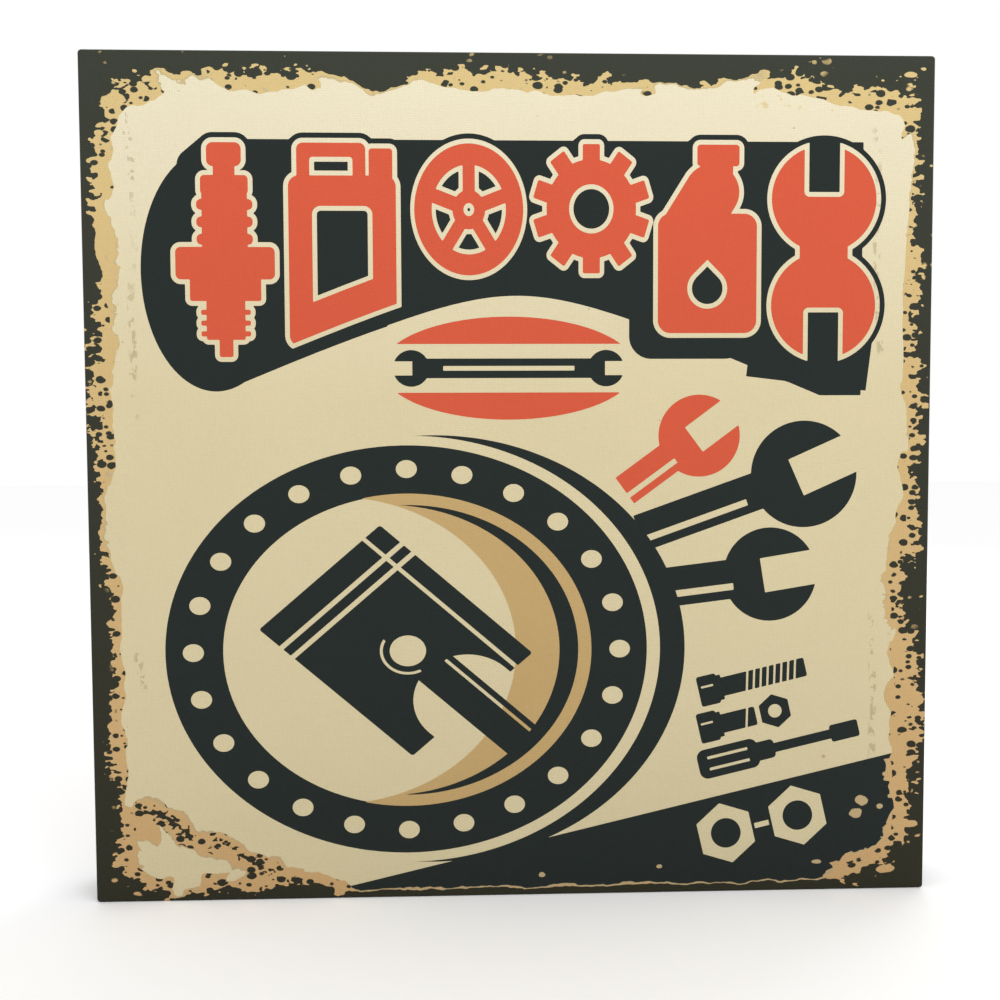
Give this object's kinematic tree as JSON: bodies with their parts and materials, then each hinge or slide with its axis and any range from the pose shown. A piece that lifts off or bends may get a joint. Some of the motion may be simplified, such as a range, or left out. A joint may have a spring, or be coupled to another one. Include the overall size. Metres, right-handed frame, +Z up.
{
  "type": "backlit canvas sign",
  "caption": "Square box sign: printed canvas stretched on a wooden frame, lit from inside by battery powered LED tape, with a hinged battery door and hanging rings.",
  "frame": {"origin": "middle of the bottom edge, half way through the frame's depth", "axes": "+Z up, the printed front faces -Y, the back faces +Y, +X to the right as seen from the front"},
  "size_m": [0.4, 0.0395, 0.4],
  "materials": {
    "printed_canvas": "matte",
    "pine": "matte",
    "plywood": "matte",
    "hardboard": "satin",
    "opal_plastic": "satin",
    "white_film": "matte",
    "zinc_steel": "satin",
    "nickel_steel": "satin",
    "tape_white": "satin",
    "led_body": "gloss",
    "resistor_black": "satin",
    "wire_red": "gloss",
    "wire_black": "gloss",
    "black_plastic": "satin",
    "switch_black": "satin",
    "slider_white": "satin",
    "bumper_rubber": "satin",
    "cell_wrap": "gloss"
  },
  "bodies": {
    "sign": {"canvas_print": "printed_canvas", "stretcher_bottom": "pine", "stretcher_left": "pine", "stretcher_top": "pine", "stretcher_right": "pine", "corner_brace_1": "plywood", "corner_brace_2": "plywood", "corner_brace_3": "plywood", "corner_brace_4": "plywood", "canvas_staples": "zinc_steel", "diffuser_sheet": "opal_plastic", "reflector_sheet": "white_film", "back_panel": "hardboard", "panel_screws": "zinc_steel", "led_tape_1": "tape_white", "led_tape_2": "tape_white", "led_tape_3": "tape_white", "led_tape_4": "tape_white", "led_tape_5": "tape_white", "led_row_1": "led_body", "led_row_2": "led_body", "led_row_3": "led_body", "led_row_4": "led_body", "led_row_5": "led_body", "tape_resistors": "resistor_black", "jumper_wires_red": "wire_red", "jumper_wires_black": "wire_black", "supply_lead_red": "wire_red", "supply_lead_black": "wire_black", "battery_box": "black_plastic", "battery_1": "cell_wrap", "battery_2": "cell_wrap", "battery_3": "cell_wrap", "contact_springs": "nickel_steel", "contact_plates": "nickel_steel", "door_hinge_pin": "nickel_steel", "switch_body": "switch_black", "battery_box_screws": "zinc_steel", "hanger_strap_left": "nickel_steel", "hanger_strap_right": "nickel_steel", "hanger_screws": "zinc_steel", "bumper_left": "bumper_rubber", "bumper_right": "bumper_rubber"},
    "door": {"battery_door": "black_plastic"},
    "slider": {"switch_slider": "slider_white"},
    "ring_left": {"hanger_ring_left": "nickel_steel"},
    "ring_right": {"hanger_ring_right": "nickel_steel"}
  },
  "joints": [
    {"name": "door_hinge", "type": "hinge", "parent": "sign", "child": "door", "pos_m": [0.0882, 0.019, 0.11055], "axis": [1, 0, 0], "range_deg": [0, 110]},
    {"name": "switch_slide", "type": "slide", "parent": "sign", "child": "slider", "axis": [1, 0, 0], "range_m": [0, 0.0042]},
    {"name": "ring_left_hinge", "type": "hinge", "parent": "sign", "child": "ring_left", "pos_m": [-0.19, 0.0199, 0.345], "axis": [1, 0, 0], "range_deg": [0, 175]},
    {"name": "ring_right_hinge", "type": "hinge", "parent": "sign", "child": "ring_right", "pos_m": [0.19, 0.0199, 0.345], "axis": [1, 0, 0], "range_deg": [0, 175]}
  ]
}
